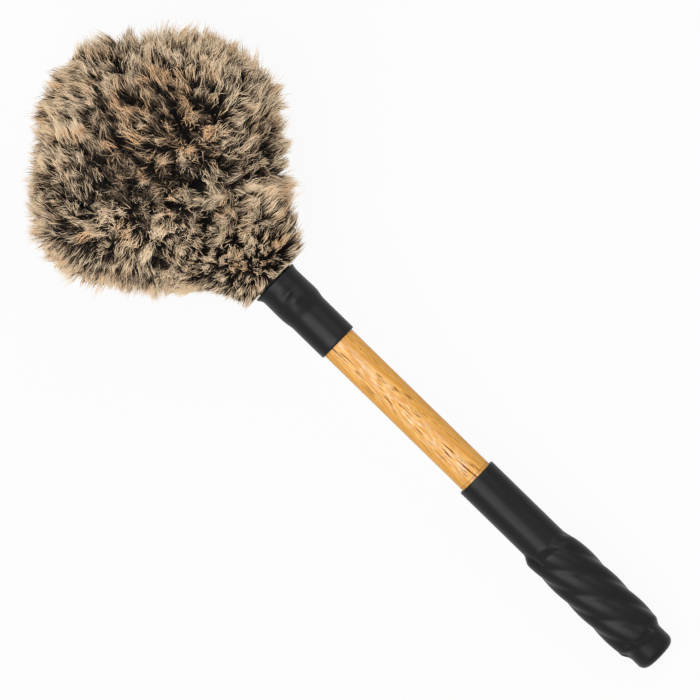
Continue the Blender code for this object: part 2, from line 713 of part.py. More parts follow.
def points_of(objects):
    """Every point of these pieces, round the shaft line."""
    graph = bpy.context.evaluated_depsgraph_get()
    found = []
    for obj in objects:
        evaluated = obj.evaluated_get(graph)
        found += [vert.co.copy() for vert in evaluated.to_mesh().vertices]
        evaluated.to_mesh_clear()
    return found


def lying_turn(head, grip):
    """The turn about Y that lays the mallet on its grip and on a slightly flattened head."""
    head_points = points_of([head])
    grip_points = points_of([grip])

    def head_clearance(turn):
        rotation = Matrix.Rotation(turn, 3, "Y")
        up = rotation.transposed() @ Vector((0, 0, 1))
        head_low = min(up.dot(point) for point in head_points)
        return head_low + TABLE_FLATTENING - min(up.dot(point) for point in grip_points)

    steep = math.radians(45)
    level = math.radians(90)
    for _ in range(60):
        middle = (steep + level) / 2
        if head_clearance(middle) > 0:
            steep = middle
        else:
            level = middle
    return steep


def lay_on_table(pieces, head, grip):
    """Lay the mallet down, flatten the fur where it rests, and centre it on the origin."""
    turn = lying_turn(head, grip)
    rotation = Matrix.Rotation(turn, 3, "Y")
    up = rotation.transposed() @ Vector((0, 0, 1))
    table = min(up.dot(point) for point in points_of([grip]))
    mesh = bmesh.new()
    mesh.from_mesh(head.data)
    everything = list(mesh.verts) + list(mesh.edges) + list(mesh.faces)
    cut = bmesh.ops.bisect_plane(mesh, geom=everything, plane_co=up * table, plane_no=up, clear_inner=True)
    rim = [item for item in cut["geom_cut"] if isinstance(item, bmesh.types.BMEdge)]
    bmesh.ops.contextual_create(mesh, geom=rim)
    bmesh.ops.recalc_face_normals(mesh, faces=mesh.faces)
    mesh.to_mesh(head.data)
    mesh.free()
    placed = [rotation @ point for point in points_of(pieces)]
    middle = (min(p.x for p in placed) + max(p.x for p in placed)) / 2
    rig = bpy.data.objects.new("mallet_line", None)
    bpy.context.scene.collection.objects.link(rig)
    rig.rotation_euler = (0.0, turn, 0.0)
    rig.location = (-middle, 0.0, -min(p.z for p in placed))
    for piece in pieces:
        piece.parent = rig


def build():
    clear_scene()
    oak = finish_of("oak", (0.74, 0.45, 0.17), 0.5)
    rubber = finish_of("rubber", (0.016, 0.016, 0.018), 0.48)
    fur = finish_of("fur", (0.33, 0.24, 0.16), 0.9)
    foam = finish_of("foam", (0.05, 0.05, 0.05), 0.85)
    cloth = finish_of("cloth", (0.72, 0.68, 0.6), 0.9)
    wadding = finish_of("wadding", (0.85, 0.84, 0.8), 0.95)
    felt = finish_of("felt", (0.5, 0.48, 0.45), 0.95)
    beech = finish_of("beech", (0.62, 0.41, 0.24), 0.55)
    twine = finish_of("twine", (0.75, 0.66, 0.48), 0.8)
    steel = finish_of("steel", (0.6, 0.6, 0.61), 0.35, 1.0)
    grip = grip_sleeve(rubber)
    head = fur_cover(fur)
    pieces = [
        oak_shaft(oak),
        grip,
        neck_collar(rubber),
        neck_whipping(twine),
        whipping_knot(twine),
        head,
        inner_cover(cloth),
        wadding_ball(wadding),
        core_felt(felt),
        head_core(beech),
        core_washer(steel),
        core_screw(steel),
    ]
    pieces += [grip_strip(number, foam) for number in range(STRIP_COUNT)]
    lay_on_table(pieces, head, grip)


if __name__ == "__main__":
    build()
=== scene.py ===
"""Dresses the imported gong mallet: long fur on its stuffed head, oak shaft, shrunk rubber grip and collar.

Pieces are made in shaft coordinates, in metres: height runs along the shaft line from the butt of the grip to
the crown of the head, X points down and Y across. LINE carries them to the row frame.
"""

import json
import math

import bpy
import numpy as np
from bpy.props import FloatProperty, FloatVectorProperty, IntProperty, PointerProperty
from mathutils import Matrix, Vector
from mathutils.bvhtree import BVHTree
from mathutils.kdtree import KDTree


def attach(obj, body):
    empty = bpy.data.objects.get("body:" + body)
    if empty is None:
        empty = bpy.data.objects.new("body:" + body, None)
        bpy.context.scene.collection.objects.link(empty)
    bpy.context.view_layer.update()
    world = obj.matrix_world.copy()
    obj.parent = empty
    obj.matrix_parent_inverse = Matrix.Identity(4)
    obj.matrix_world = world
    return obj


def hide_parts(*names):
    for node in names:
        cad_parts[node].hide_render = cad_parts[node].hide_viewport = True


bl_info = {
    "name": "Gong Mallet",
    "version": (1, 0, 0),
    "blender": (4, 5, 0),
    "location": "View3D > Sidebar > Gong Mallet",
    "description": "Builds the fur, rubber and oak of a gong mallet round its packed model",
    "category": "Object",
}

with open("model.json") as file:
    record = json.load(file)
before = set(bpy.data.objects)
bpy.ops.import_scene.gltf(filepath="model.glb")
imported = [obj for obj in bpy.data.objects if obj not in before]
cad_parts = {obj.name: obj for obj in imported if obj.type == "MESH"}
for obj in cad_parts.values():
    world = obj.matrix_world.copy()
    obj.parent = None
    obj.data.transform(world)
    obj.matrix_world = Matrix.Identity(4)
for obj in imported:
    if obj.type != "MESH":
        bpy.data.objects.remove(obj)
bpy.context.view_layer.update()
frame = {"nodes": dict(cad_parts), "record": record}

MM = 0.001
TURN = 2 * math.pi

# The shaft line, from the flat face on the butt of the grip
BUTT_FACE = next(mount for mount in frame["record"]["mounts"] if mount["name"] == "butt_face")
ALONG = -Vector(BUTT_FACE["axis"]).normalized()
ACROSS = Vector((0.0, 1.0, 0.0))
BUTT = Vector((BUTT_FACE["pos_m"][0], 0.0, BUTT_FACE["pos_m"][2]))
TILT = math.atan2(ALONG.x, ALONG.z)
LINE = Matrix.Translation(BUTT) @ Matrix.Rotation(TILT, 4, "Y")


def vectors(data, what="co"):
    """One vector of each vertex of a mesh, its place or its normal, as an array."""
    found = np.zeros(len(data.vertices) * 3)
    data.vertices.foreach_get(what, found)
    return found.reshape(-1, 3)


def carry(points, place):
    """Points moved by a matrix."""
    place = np.array(place)
    return points @ place[:3, :3].T + place[:3, 3]


def unit(ways):
    """The same ways, each 1 long."""
    return ways / np.maximum(np.linalg.norm(ways, axis=-1, keepdims=True), 1e-9)


def shaft_points(node):
    """A CAD node's vertices in shaft coordinates."""
    return carry(vectors(frame["nodes"][node].data), LINE.inverted())


def heights(node):
    """How low and how high a CAD node lies along the shaft line."""
    along = shaft_points(node)[:, 2]
    return along.min(), along.max()


SLEEVE_MOUTH = heights("grip_sleeve")[1]
COLLAR_FOOT, NECK = heights("neck_collar")
CROWN = heights("fur_cover")[1]
HEAD_MIDDLE = (NECK + CROWN) / 2

# The grip sleeve in mm: its bore, and its outside where it is plain and at the nub on the butt
SLEEVE_BORE = 11.3
SLEEVE_RADIUS = 13.0
NUB_RADIUS = 12.6
BUTT_ROUND = 4.65

# The grip's lobed stretch in mm: its foot, top and pitch, where a crease comes to the top side, how far the
# lobes stand out and how deep the creases are, and how each strip's ends differ
LOBES = 6
LOBES_FOOT = 11.0
LOBES_TOP = 92.5
LOBES_PITCH = 124.0
LOBES_CREASE = 49.5
LOBES_LIFT = 2.9
LOBES_DEPTH = 1.2
LOBES_TOP_SHIFT = (5.0, 1.5, 0.0, -1.0, 0.0, 2.5)
LOBES_TOP_RAMP = (7.0, 8.0, 8.0, 14.0, 9.0, 7.0)
LOBES_FOOT_SHIFT = (0.0, 1.0, -1.0, 0.5, 0.0, 1.0)

# The neck collar in mm: its bore, its wall and its mean outside
COLLAR_BORE = 11.3
COLLAR_WALL = 1.3
COLLAR_RADIUS = 12.5

# Bumps and dents of the neck collar: mm above its top edge, angle, length, width and swelling in mm
COLLAR_BUMPS = (
    (-15.5, 181, 3.4, 4, 0.95),
    (-17, 184, 1.4, 1.6, 0.45),
    (-13.3, 186, 1.3, 1.4, 0.4),
    (-20, 172, 5, 6, 0.35),
    (-11, 176, 1.6, 4, -0.45),
    (-5, 176, 2.2, 2.6, 0.35),
    (0, 92, 2.4, 8, 1.7),
    (0, 262, 1.6, 5, 0.4),
    (-6.5, 190, 4, 7, 0.3),
    (-17, 214, 3.5, 5, 0.4),
    (-9.5, 150, 3, 5, 0.3),
    (-14, 60, 5, 7, 0.35),
    (-19, -70, 6, 8, 0.3),
    (-8, 0, 4, 8, 0.35),
)

# Where blows have worn the fur warm and pale
WORN_SPOT = (-75 * MM, -14 * MM, NECK + 112 * MM)

# The fur cover's thickness over the cloth cover
COVER_WALL = 15.3 * MM

# Where the pile stands longer or shorter: mm above the collar and across the shaft line, extra length and
# spread in mm
LONGER_PILE = (
    (153, -56, 14, 24),
    (164, 9, -9, 12),
    (150, 52, 1.5, 12),
    (112, 80, 3.5, 26),
    (110, -82, 0.5, 14),
    (80, -72, 3.5, 14),
    (55, -60, 4, 18),
    (52, 58, 1.5, 12),
    (28, 38, -9, 15),
    (24, -38, -1.5, 14),
)

# Radius of a ball with about as much surface as the skin
SKIN_BALL = 68 * MM

# Shares of strands that keep to no tuft and that are short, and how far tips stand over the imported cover
LOOSE_SHARE = 0.09
SHORT_SHARE = 0.45
TIPS_OVER = 3.8 * MM
TIPS_SPREAD = 1.2 * MM

# Places along a strand, from root to tip, at which it bends
STRAND_STEPS = np.array([0.0, 0.4, 0.74, 1.0])

# A way that few strands run along, from which their sides are worked out
OBLIQUE = np.array([0.3, 0.2, 0.93])

# Meshes that the strands are shared among
PATCHES = 10

# Frames in which the stuffing swells the skin
STUFFING_FRAMES = 20


class StageSettings(bpy.types.PropertyGroup):
    """Camera and lights, framed as the photograph is."""

    distance: FloatProperty(
        name="Distance", description="Camera to shaft line", default=2.2, subtype="DISTANCE"
    )
    frame_width: FloatProperty(
        name="Frame width", description="Real width of the square view", default=0.406, subtype="DISTANCE"
    )
    line_angle: FloatProperty(
        name="Line angle",
        description="How far below the horizontal the shaft runs, from the head to the butt",
        default=math.radians(44.3),
        subtype="ANGLE",
    )
    aim_height: FloatProperty(
        name="Aim height", description="Shaft height at mid-view", default=0.2522, subtype="DISTANCE"
    )
    aim_aside: FloatProperty(
        name="Aim aside", description="How far mid-view is off the line", default=-0.0017, subtype="DISTANCE"
    )
    sky: FloatProperty(name="Sky", description="Strength of the studio's even light", default=0.5, min=0.0)
    softbox: FloatProperty(
        name="Softbox", description="Power of the large light", default=18.5, min=0.0, subtype="POWER"
    )
    fill: FloatProperty(
        name="Fill", description="Power of the light on the other side", default=7.0, min=0.0, subtype="POWER"
    )


class FurSettings(bpy.types.PropertyGroup):
    """The long pile and the sewn skin it grows from."""

    skin_depth: FloatProperty(
        name="Skin depth", description="The skin's depth under the fur", default=0.0135, subtype="DISTANCE"
    )
    neck_depth: FloatProperty(
        name="Neck depth", description="The same depth at the collar", default=0.0035, subtype="DISTANCE"
    )
    panels: IntProperty(name="Panels", description="Sewn panels round the skin", default=6, min=2)
    puff: FloatProperty(
        name="Puff", description="Most that stuffing swells the skin", default=0.003, subtype="DISTANCE"
    )
    strands: IntProperty(name="Strands", description="Strands in all", default=105000, min=1000)
    length: FloatProperty(
        name="Length", description="Usual length of a strand", default=0.0185, subtype="DISTANCE"
    )
    thickness: FloatProperty(
        name="Thickness", description="A strand's thickness at its root", default=0.00042, subtype="DISTANCE"
    )
    lock_spacing: FloatProperty(
        name="Lock spacing", description="Between middles of large locks", default=0.0068, subtype="DISTANCE"
    )
    tuft_spacing: FloatProperty(
        name="Tuft spacing", description="Between middles of small tufts", default=0.0035, subtype="DISTANCE"
    )
    root_colour: FloatVectorProperty(
        name="Root colour", description="Colour at the roots", default=(0.006, 0.005, 0.004), subtype="COLOR"
    )
    middle_colour: FloatVectorProperty(
        name="Middle colour", description="Colour half way up", default=(0.15, 0.1, 0.065), subtype="COLOR"
    )
    tip_colour: FloatVectorProperty(
        name="Tip colour", description="Colour of pale tips", default=(1.0, 0.78, 0.53), subtype="COLOR"
    )
    warm_tip_colour: FloatVectorProperty(
        name="Warm tip colour", description="Colour of warm tips", default=(0.96, 0.58, 0.3), subtype="COLOR"
    )


class WoodSettings(bpy.types.PropertyGroup):
    """Oiled oak and raw beech."""

    honey: FloatVectorProperty(
        name="Honey", description="The oak's main colour", default=(0.785, 0.405, 0.083), subtype="COLOR"
    )
    pale: FloatVectorProperty(
        name="Pale", description="Colour of the pale flecks", default=(0.87, 0.65, 0.42), subtype="COLOR"
    )
    brown: FloatVectorProperty(
        name="Brown", description="Colour of the pores", default=(0.2, 0.042, 0.004), subtype="COLOR"
    )
    beech: FloatVectorProperty(
        name="Beech", description="The core's main colour", default=(0.62, 0.41, 0.24), subtype="COLOR"
    )


class RubberSettings(bpy.types.PropertyGroup):
    """Satin shrunk rubber."""

    colour: FloatVectorProperty(
        name="Colour", description="The rubber's colour", default=(0.003, 0.003, 0.0036), subtype="COLOR"
    )
    roughness: FloatProperty(
        name="Roughness", description="Middle of its roughness", default=0.38, min=0.0, max=1.0
    )


class Finish:
    """A material or world under construction: its nodes, and short ways to add and join them."""

    def __init__(self, name, kind=bpy.data.materials, shader="Principled BSDF"):
        self.material = kind.new(name)
        self.material.use_nodes = True
        self.tree = self.material.node_tree
        self.shader = self.tree.nodes[shader]

    def add(self, kind, values=(), **options):
        """Add a node, set its options, and set or link its inputs by name or number."""
        node = self.tree.nodes.new(kind)
        for option, value in options.items():
            setattr(node, option, value)
        for key, value in dict(values).items():
            self.put(node.inputs[key], value)
        return node

    def put(self, socket, value):
        """Link a socket to another node's output, or set it to a plain value."""
        if isinstance(value, bpy.types.NodeSocket):
            self.tree.links.new(value, socket)
        else:
            socket.default_value = value

    def shade(self, **values):
        """Set the shader's inputs, with underscores for spaces."""
        for name, value in values.items():
            self.put(self.shader.inputs[name.replace("_", " ")], value)

    def math(self, operation, first, second=0.0):
        """One arithmetic step."""
        return self.add("ShaderNodeMath", {0: first, 1: second}, operation=operation).outputs[0]

    def plus(self, first, second):
        """A sum."""
        return self.math("ADD", first, second)

    def minus(self, first, second):
        """A difference."""
        return self.math("SUBTRACT", first, second)

    def times(self, first, second):
        """A product."""
        return self.math("MULTIPLY", first, second)

    def mix(self, share, first, second):
        """A mix of two colours."""
        return self.add("ShaderNodeMix", {0: share, 6: first, 7: second}, data_type="RGBA").outputs[2]

    def ramp(self, value, stops):
        """A colour ramp through (place, colour) stops. A number stands for a grey."""
        node = self.add("ShaderNodeValToRGB", {0: value})
        elements = node.color_ramp.elements
        while len(elements) < len(stops):
            elements.new(0.5)
        for element, (place, colour) in zip(elements, stops):
            element.position = place
            shade = (colour,) * 3 if isinstance(colour, float) else colour[:3]
            element.color = (*shade, 1.0)
        return node.outputs[0]

    def noise(self, place, scale, detail=2.0, roughness=0.5, distortion=0.0):
        """The strength of a noise at a place."""
        values = {0: place, "Scale": scale, "Detail": detail}
        values |= {"Roughness": roughness, "Distortion": distortion}
        return self.add("ShaderNodeTexNoise", values).outputs[0]

    def grain(self, across, along, *texture):
        """A noise with its own scale across and along the shaft."""
        return self.noise(self.along_shaft((across, across, along)), 1.0, *texture)

    def along_shaft(self, scale=(1.0, 1.0, 1.0)):
        """Shaft coordinates of the shaded point, stretched by a scale."""
        place = self.add("ShaderNodeTexCoord").outputs["Object"]
        mapping = self.add("ShaderNodeMapping", {0: place}, vector_type="POINT")
        mapping.inputs["Rotation"].default_value = (0.0, -TILT, 0.0)
        mapping.inputs["Location"].default_value = -(Matrix.Rotation(-TILT, 3, "Y") @ BUTT)
        return self.add("ShaderNodeMapping", {0: mapping.outputs[0], "Scale": scale}).outputs[0]

    def bump(self, height, strength, distance):
        """A bump from a height."""
        values = {"Height": height, "Strength": strength, "Distance": distance}
        self.shade(Normal=self.add("ShaderNodeBump", values).outputs[0])

    def axes(self, place):
        """The three numbers of a place."""
        node = self.add("ShaderNodeSeparateXYZ", {0: place})
        return node.outputs[0], node.outputs[1], node.outputs[2]


def paint(node, material):
    """Give a CAD node its finish."""
    obj = frame["nodes"][node]
    obj.data.materials.clear()
    obj.data.materials.append(material)


def select(obj):
    """Select one object and make it active."""
    bpy.ops.object.select_all(action="DESELECT")
    obj.select_set(True)
    bpy.context.view_layer.objects.active = obj


def settle(obj, material, slot, *nodes):
    """Finish a new piece: it rides on the one body and stands for its CAD nodes."""
    obj.data.materials.clear()
    obj.data.materials.append(material)
    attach(obj, "root")
    if nodes:
        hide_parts(*nodes)


def link(name, data):
    """A new object in the scene."""
    obj = bpy.data.objects.new(name, data)
    bpy.context.scene.collection.objects.link(obj)
    return obj


def reshape(obj, points):
    """Put an object's vertices at new places."""
    obj.data.vertices.foreach_set("co", points.ravel())
    obj.data.update()


def spin(name, outline, closed, steps, merge):
    """Spin (height, radius) points round the shaft line, and merge points that come closer than this."""
    count = len(outline)
    data = bpy.data.meshes.new(name)
    vertices = [(radius, 0.0, height) for height, radius in outline]
    data.from_pydata(vertices, [(i, (i + 1) % count) for i in range(count if closed else count - 1)], [])
    obj = link(name, data)
    select(obj)
    bpy.ops.object.mode_set(mode="EDIT")
    bpy.ops.mesh.select_all(action="SELECT")
    bpy.ops.mesh.spin(steps=steps, angle=TURN, center=(0, 0, 0), axis=(0, 0, 1))
    bpy.ops.mesh.select_all(action="SELECT")
    bpy.ops.mesh.remove_doubles(threshold=merge)
    bpy.ops.mesh.normals_make_consistent(inside=False)
    bpy.ops.object.mode_set(mode="OBJECT")
    return obj


def oak_finish(wood):
    """Flat-sawn oak: arched growth rings on the front, short brown pores along them, and pale ray flecks kept
    to the strip facing the camera and lamps, partly real flecks and partly painted highlight. The ring edges
    turn browner towards the sides as painted shade.
    """
    oak = Finish("oiled oak")
    x, y, z = oak.axes(oak.along_shaft())
    wander = oak.grain(70.0, 11.0, 3.0)
    # The tree's heart lay under the shaft line, 28 mm deep at mid-shaft, and the rings run round it
    tilt = oak.times(oak.minus(z, 0.2), 0.045)
    depth = oak.plus(oak.minus(x, 0.028), tilt)
    radius = oak.math("SQRT", oak.plus(oak.times(depth, depth), oak.times(y, y)))
    ring = oak.plus(radius, oak.times(wander, 0.009))
    rings = oak.plus(oak.times(oak.math("SINE", oak.times(ring, 2900.0)), 0.5), 0.5)
    fibre = oak.grain(1150.0, 30.0, 3.0, 0.6)
    tone = oak.plus(oak.times(rings, 0.45), oak.times(fibre, 0.55))
    honey = Vector(wood.honey)
    late = Vector((honey[0] * 0.83, honey[1] * 0.7, honey[2] * 0.55))
    body = oak.ramp(tone, [(0.28, late), (0.5, honey), (0.72, honey * 1.12)])
    # The strip that faces the camera and the softbox. Pale flecks gather on it, partly real ray flecks and
    # partly painted highlight.
    aside = oak.times(oak.math("ABSOLUTE", oak.minus(y, 1.5 * MM)), 100.0)
    front = oak.ramp(aside, [(0.2, 1.0), (0.7, 0.0)])
    edge = oak.times(oak.ramp(rings, [(0.8, 0.0), (1.0, 0.6)]), oak.ramp(fibre, [(0.4, 0.2), (0.6, 1.0)]))
    # Painted shade: the ring edges turn browner towards the shaft's sides, away from the lit front
    edge = oak.times(edge, oak.ramp(aside, [(0.2, 0.5), (0.7, 1.0)]))
    body = oak.mix(edge, body, (*wood.brown, 1.0))
    fleck = oak.grain(620.0, 130.0, 4.0, 0.7, 0.6)
    pale = oak.times(oak.ramp(fleck, [(0.46, 0.05), (0.68, 1.0)]), front)
    body = oak.mix(pale, body, (*wood.pale, 1.0))
    long = oak.grain(1000.0, 62.0, 0.5, 0.5, 0.3)
    long = oak.ramp(long, [(0.61, 0.0), (0.66, 1.0)])
    short = oak.grain(1500.0, 190.0, 0.5, 0.5, 0.3)
    short = oak.ramp(short, [(0.58, 0.0), (0.65, 0.75)])
    row = oak.ramp(rings, [(0.35, 0.0), (0.75, 1.0)])
    open_grain = oak.ramp(oak.times(oak.math("ABSOLUTE", y), 100.0), [(0.4, 1.0), (0.8, 0.35)])
    pores = oak.times(oak.math("MAXIMUM", long, short), oak.times(row, open_grain))
    body = oak.mix(pores, body, (*wood.brown, 1.0))
    rim = oak.math("ABSOLUTE", oak.minus(z, SLEEVE_MOUTH + 1.7 * MM))
    rim = oak.ramp(oak.times(rim, 1000.0), [(0.12, 0.6), (0.3, 0.0)])
    body = oak.mix(rim, body, (*wood.brown, 1.0))
    oak.shade(Base_Color=body, Roughness=oak.plus(oak.times(fibre, 0.2), 0.4))
    oak.shade(Specular_IOR_Level=0.3)
    oak.bump(oak.minus(fibre, pores), 0.25, 0.12 * MM)
    return oak.material


def beech_finish(wood):
    """Raw turned beech: fine short flecks and turning marks."""
    beech = Finish("turned beech")
    fleck = beech.grain(900.0, 160.0, 2.0)
    marks = beech.grain(20.0, 2400.0, 1.0)
    colour = Vector(wood.beech)
    tone = beech.ramp(fleck, [(0.3, colour * 0.7), (0.55, colour), (0.8, colour * 1.15)])
    beech.shade(Base_Color=tone, Roughness=0.6)
    beech.bump(marks, 0.3, 0.1 * MM)
    return beech.material


def rubber_finish(rubber):
    """Satin black rubber: faint streaks left by shrinking, handling marks and a fine skin."""
    satin = Finish("satin rubber")
    streak = satin.grain(160.0, 30.0, 3.0)
    skin = satin.noise(satin.along_shaft(), 1800.0, 2.0)
    worn = satin.noise(satin.along_shaft(), 55.0, 3.0)
    colour = Vector(rubber.colour)
    tone = satin.ramp(worn, [(0.3, colour * 0.85), (0.7, colour * 1.35)])
    rough = satin.plus(satin.times(streak, 0.16), rubber.roughness - 0.08)
    satin.shade(Base_Color=tone, Roughness=rough, Specular_IOR_Level=0.2)
    height = satin.plus(satin.times(streak, 0.6), satin.times(skin, 0.12))
    satin.bump(height, 0.35, 0.3 * MM)
    return satin.material


def fur_finish(fur):
    """Fur strands. The map's U is a strand's own tone and its V runs from root to tip."""
    pile = Finish("long fur")
    tone, climb, _ = pile.axes(pile.add("ShaderNodeUVMap", uv_map="strand").outputs[0])
    shift = pile.plus(climb, pile.times(pile.minus(tone, 0.5), 0.45))
    root = Vector(fur.root_colour)
    middle = Vector(fur.middle_colour)
    tip = Vector(fur.tip_colour)
    warm = Vector(fur.warm_tip_colour)
    shares = [0.0, 0.53, 0.67, 0.82, 1.0]
    cool = [root, root * 1.5, middle, tip * 0.92, tip]
    toast = [root, root * 2.0, middle * 1.1, warm * 0.9, warm]
    cool_ramp = pile.ramp(shift, list(zip(shares, cool)))
    warm_ramp = pile.ramp(shift, list(zip(shares, toast)))
    place = pile.along_shaft()
    worn = pile.add("ShaderNodeVectorMath", {0: place, 1: WORN_SPOT}, operation="DISTANCE").outputs["Value"]
    worn = pile.ramp(pile.times(worn, 20.0), [(0.4, 1.0), (1.0, 0.0)])
    patch = pile.plus(pile.noise(place, 60.0, 3.0), pile.times(worn, 0.21))
    warmth = pile.plus(patch, pile.times(pile.minus(tone, 0.5), 0.15))
    warm_share = pile.ramp(warmth, [(0.52, 0.0), (0.76, 0.85)])
    colour = pile.mix(warm_share, cool_ramp, warm_ramp)
    pile.shade(Base_Color=colour, Roughness=0.5, Specular_IOR_Level=0.06)
    return pile.material


def knit_finish(name, colour, stitch):
    """Knitted cloth: rows of small loops with thin fuzz."""
    knit = Finish(name)
    loops = knit.add(
        "ShaderNodeTexVoronoi",
        {0: knit.along_shaft((1.0, 1.0, 0.7)), "Scale": 1.0 / stitch, "Randomness": 0.35},
        feature="F1",
    ).outputs[0]
    fuzz = knit.noise(knit.along_shaft(), 900.0, 3.0)
    shade = Vector(colour)
    # Painted shade: the colour darkens towards each loop's rim, where the bump sinks between the stitches
    knit.shade(Base_Color=knit.ramp(loops, [(0.1, shade * 1.1), (0.6, shade * 0.6)]), Roughness=0.9)
    knit.bump(knit.minus(knit.times(fuzz, 0.3), loops), 0.7, 0.4 * MM)
    return knit.material


def felted_finish(name, colour, grain):
    """Felt, wadding or foam: cloudy fibres."""
    felt = Finish(name)
    cloud = felt.noise(felt.along_shaft(), grain, 5.0, 0.7, 1.2)
    shade = Vector(colour)
    felt.shade(Base_Color=felt.ramp(cloud, [(0.3, shade * 0.75), (0.7, shade * 1.1)]), Roughness=0.95)
    felt.bump(cloud, 0.6, 0.5 * MM)
    return felt.material


def twine_finish():
    """Waxed twine: two plies that run round each other."""
    twine = Finish("waxed twine")
    ply = twine.grain(700.0, 2600.0, 3.0)
    colour = Vector((0.62, 0.5, 0.32))
    twine.shade(Base_Color=twine.ramp(ply, [(0.3, colour * 0.6), (0.7, colour * 1.1)]), Roughness=0.55)
    twine.bump(ply, 0.6, 0.2 * MM)
    return twine.material


def steel_finish():
    """Zinc plated steel with fine turning marks."""
    steel = Finish("plated steel")
    marks = steel.grain(3000.0, 300.0, 2.0)
    steel.shade(
        Base_Color=steel.ramp(marks, [(0.3, 0.5), (0.7, 0.68)]),
        Roughness=steel.ramp(marks, [(0.2, 0.24), (0.8, 0.42)]),
    )
    steel.shader.inputs["Metallic"].default_value = 1.0
    return steel.material


class MALLET_OT_shaft(bpy.types.Operator):
    """Finish the oak shaft and the beech core"""

    bl_idname = "mallet.shaft"
    bl_label = "Shaft and core"

    def execute(self, context):
        wood = context.scene.mallet_wood
        paint("shaft", oak_finish(wood))
        paint("head_core", beech_finish(wood))
        return {"FINISHED"}


def smooth(share):
    """0 to 1 with a soft start and end."""
    share = np.clip(share, 0.0, 1.0)
    return share * share * (3 - 2 * share)


def evenly(low, high, spacing):
    """Even steps from low to high, both ends included."""
    return list(np.linspace(low, high, max(2, round(abs(high - low) / spacing) + 1)))


def bend(height, radius, reach, start, end, count):
    """Points of an arc round (height, radius). Angle 0 points up the shaft, and a quarter turn outwards."""
    angles = np.linspace(start, end, count)
    return [(height + reach * math.cos(angle), radius + reach * math.sin(angle)) for angle in angles]


def sleeve_outline():
    """The grip sleeve's wall, in mm: down the outside, round the butt, and up the inside."""
    mouth = SLEEVE_MOUTH / MM
    step = SLEEVE_RADIUS - NUB_RADIUS
    outline = bend(mouth - 0.5, SLEEVE_RADIUS - 0.5, 0.5, 0.0, math.pi / 2, 4)
    outline += [(height, SLEEVE_RADIUS) for height in evenly(mouth - 2.0, LOBES_TOP + 8, 2.5)]
    for height in evenly(LOBES_TOP + 7, LOBES_FOOT, 1.0):
        outline.append((height, NUB_RADIUS + step * smooth((height - LOBES_FOOT) / 7)))
    outline += [(height, NUB_RADIUS) for height in evenly(LOBES_FOOT - 1.5, 6.0, 1.5)]
    outline += bend(BUTT_ROUND, NUB_RADIUS - BUTT_ROUND, BUTT_ROUND, math.pi / 2, math.pi, 9)
    outline += [(0.15, 5.65), (0.8, 5.5), (1.6, 5.6)]
    outline += bend(4.9, SLEEVE_BORE - 3.3, 3.3, math.pi, math.pi / 2, 7)
    outline += [(height, SLEEVE_BORE) for height in evenly(LOBES_FOOT - 1.0, LOBES_TOP + 8, 2.0)]
    outline += [(height, SLEEVE_BORE) for height in evenly(LOBES_TOP + 12, mouth, 6.0)]
    return outline


def lobe_lift(points):
    """How far the padding strips lift the sleeve, in mm, at points in mm."""
    height = points[:, 2]
    angle = np.arctan2(points[:, 1], points[:, 0])
    wind = (np.clip(height, LOBES_FOOT, LOBES_TOP) - LOBES_CREASE) / LOBES_PITCH
    place = ((angle - math.pi) / TURN + wind) * LOBES - 0.5
    lane = np.round(place)
    across = 2 * np.abs(place - lane)
    lane = lane.astype(int) % LOBES
    crease = across**2 - 5.0 * np.clip(across - 0.8, 0.0, 1.0) ** 2
    lift = LOBES_LIFT - LOBES_DEPTH * crease
    corner = 4.0 * (1 - np.sqrt(np.clip(1 - across**4, 0.0, 1.0)))
    top = LOBES_TOP - corner + np.array(LOBES_TOP_SHIFT)[lane]
    foot = LOBES_FOOT + corner + np.array(LOBES_FOOT_SHIFT)[lane]
    upper = smooth((top - height) / np.array(LOBES_TOP_RAMP)[lane])
    lower = smooth((height - foot) / 6.5)
    return lift * upper * lower


def tube(name, outline, lift, steps):
    """Spin a closed outline in mm round the shaft line, lift its wall, and lay it on the table."""
    wall = [(height * MM, radius * MM) for height, radius in outline]
    obj = spin(name, wall, True, steps, 0.001 * MM)
    bpy.ops.object.shade_smooth()
    points = vectors(obj.data) / MM
    radius = np.hypot(points[:, 0], points[:, 1])
    points[:, :2] *= ((radius + lift(points)) / radius)[:, None]
    points = carry(points * MM, LINE)
    points[:, 2] = np.maximum(points[:, 2], 0.0)
    reshape(obj, points)
    return obj


def collar_outline():
    """The neck collar's wall, in mm: up the inside and down the outside, with a flared lip at the fur."""
    foot, neck = COLLAR_FOOT / MM, NECK / MM

    def bore(height):
        step = smooth((height - foot - 24.0) / 7.5)
        return COLLAR_BORE + 0.9 * step + 0.45 * smooth(1 - (neck - height) / 5)

    along = evenly(foot, neck, 1.0)
    outline = [(height, bore(height)) for height in along]
    outline += [(height, bore(height) + COLLAR_WALL) for height in reversed(along[1:-1])]
    outline.insert(len(along), (neck - 0.15, bore(neck) + COLLAR_WALL - 0.15))
    outline.append((foot + 0.15, bore(foot) + COLLAR_WALL - 0.1))
    return outline


def collar_lift(points):
    """Where the collar stands out over the knot of the twine, and dents round it, in mm."""
    height = points[:, 2] - NECK / MM
    angle = np.arctan2(points[:, 1], points[:, 0])
    lift = np.zeros(len(points))
    for above, turn, length, width, swelling in COLLAR_BUMPS:
        way = np.remainder(angle - math.radians(turn) + math.pi, TURN) - math.pi
        lift += swelling * np.exp(-(((height - above) / length) ** 2) - (way * COLLAR_RADIUS / width) ** 2)
    return lift


class MALLET_OT_rubber(bpy.types.Operator):
    """Shrink the grip sleeve and the neck collar on"""

    bl_idname = "mallet.rubber"
    bl_label = "Grip and collar"

    def execute(self, context):
        satin = rubber_finish(context.scene.mallet_rubber)
        settle(tube("grip_skin", sleeve_outline(), lobe_lift, 96), satin, "rubber", "grip_sleeve")
        settle(tube("collar_skin", collar_outline(), collar_lift, 72), satin, "rubber", "neck_collar")
        return {"FINISHED"}


